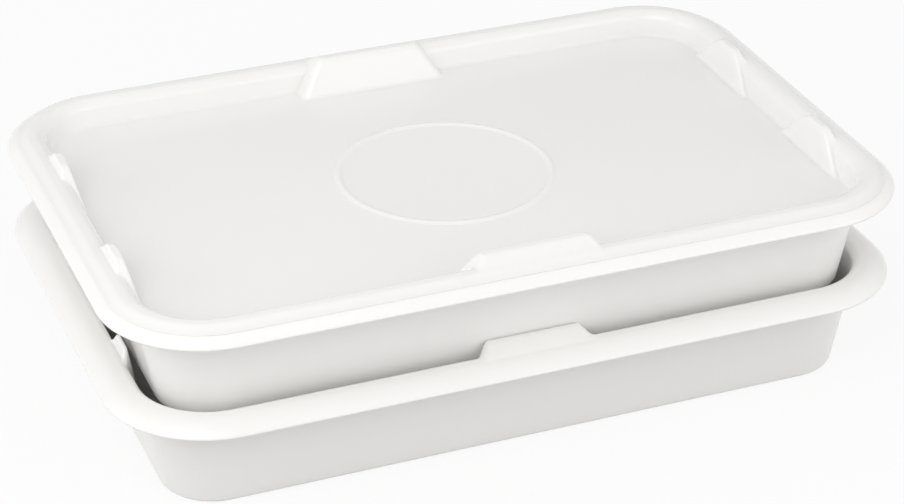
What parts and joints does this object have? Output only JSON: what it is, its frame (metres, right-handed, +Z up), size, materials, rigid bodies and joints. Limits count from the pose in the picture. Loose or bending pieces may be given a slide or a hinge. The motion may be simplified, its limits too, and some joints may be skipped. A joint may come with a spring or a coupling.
{
  "type": "dough proofing container",
  "caption": "Stack of shallow rectangular dough trays with rolled rims and stacking lugs, closed by a plug-in lid with a sunk panel and a raised ring, for proofing dough.",
  "frame": {"origin": "centre of the lower tray's base, on the surface that the stack stands on", "axes": "+X along the long sides, +Y from the front long side to the back, +Z up"},
  "size_m": [0.6, 0.4, 0.1636],
  "materials": {
    "tray_plastic": "moulded white polypropylene, semi-gloss",
    "lid_plastic": "moulded white polypropylene, semi-gloss"
  },
  "bodies": {
    "lower_tray": {"lower_tray": "tray_plastic"},
    "upper_tray": {"upper_tray": "tray_plastic"},
    "lid": {"lid": "lid_plastic"}
  },
  "joints": [
    {"name": "upper_tray_lift", "type": "slide", "parent": "lower_tray", "child": "upper_tray", "axis": [0, 0, 1], "range_m": [0, 0.15]},
    {"name": "lid_lift", "type": "slide", "parent": "upper_tray", "child": "lid", "axis": [0, 0, 1], "range_m": [0, 0.15]}
  ]
}
